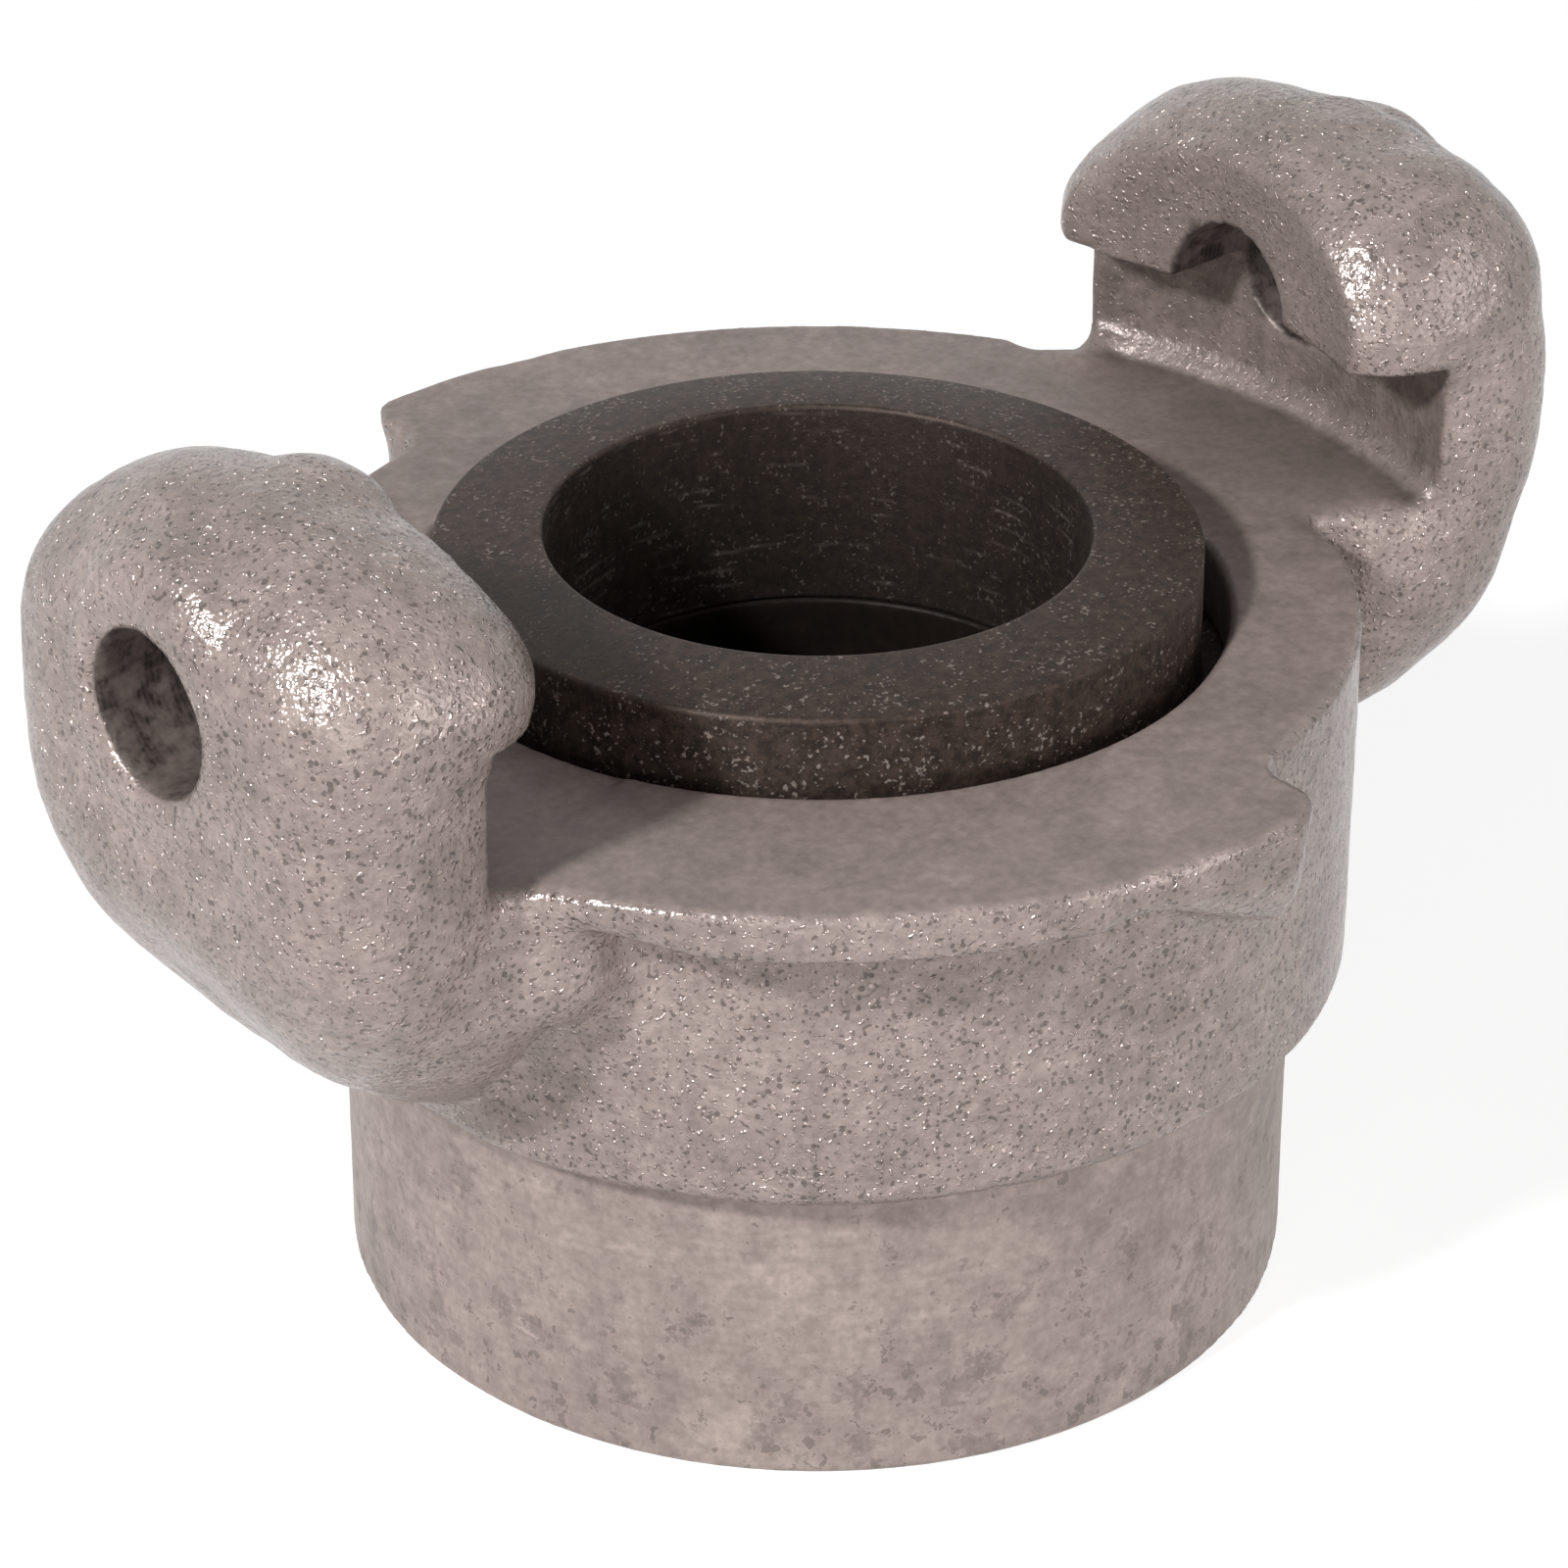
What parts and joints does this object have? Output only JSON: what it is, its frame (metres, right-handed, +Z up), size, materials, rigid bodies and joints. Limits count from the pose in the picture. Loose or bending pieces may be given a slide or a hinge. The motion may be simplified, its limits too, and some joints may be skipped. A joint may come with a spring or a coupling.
{
  "type": "claw coupling",
  "caption": "Claw coupling half for air hose: threaded iron socket, flat face with curved lips, hooked claws and a rubber seal ring.",
  "frame": {"origin": "centre of the socket's open bottom face, which the part stands on", "axes": "+Z up along the bore, from the threaded socket towards the coupling face; the claws stand on the X axis"},
  "size_m": [0.1106, 0.0866, 0.0722],
  "materials": {
    "galvanised_iron": "rough cast, zinc coated",
    "seal_rubber": "matte"
  },
  "bodies": {
    "root": {"coupling_body": "galvanised_iron", "seal_ring": "seal_rubber"}
  },
  "joints": []
}
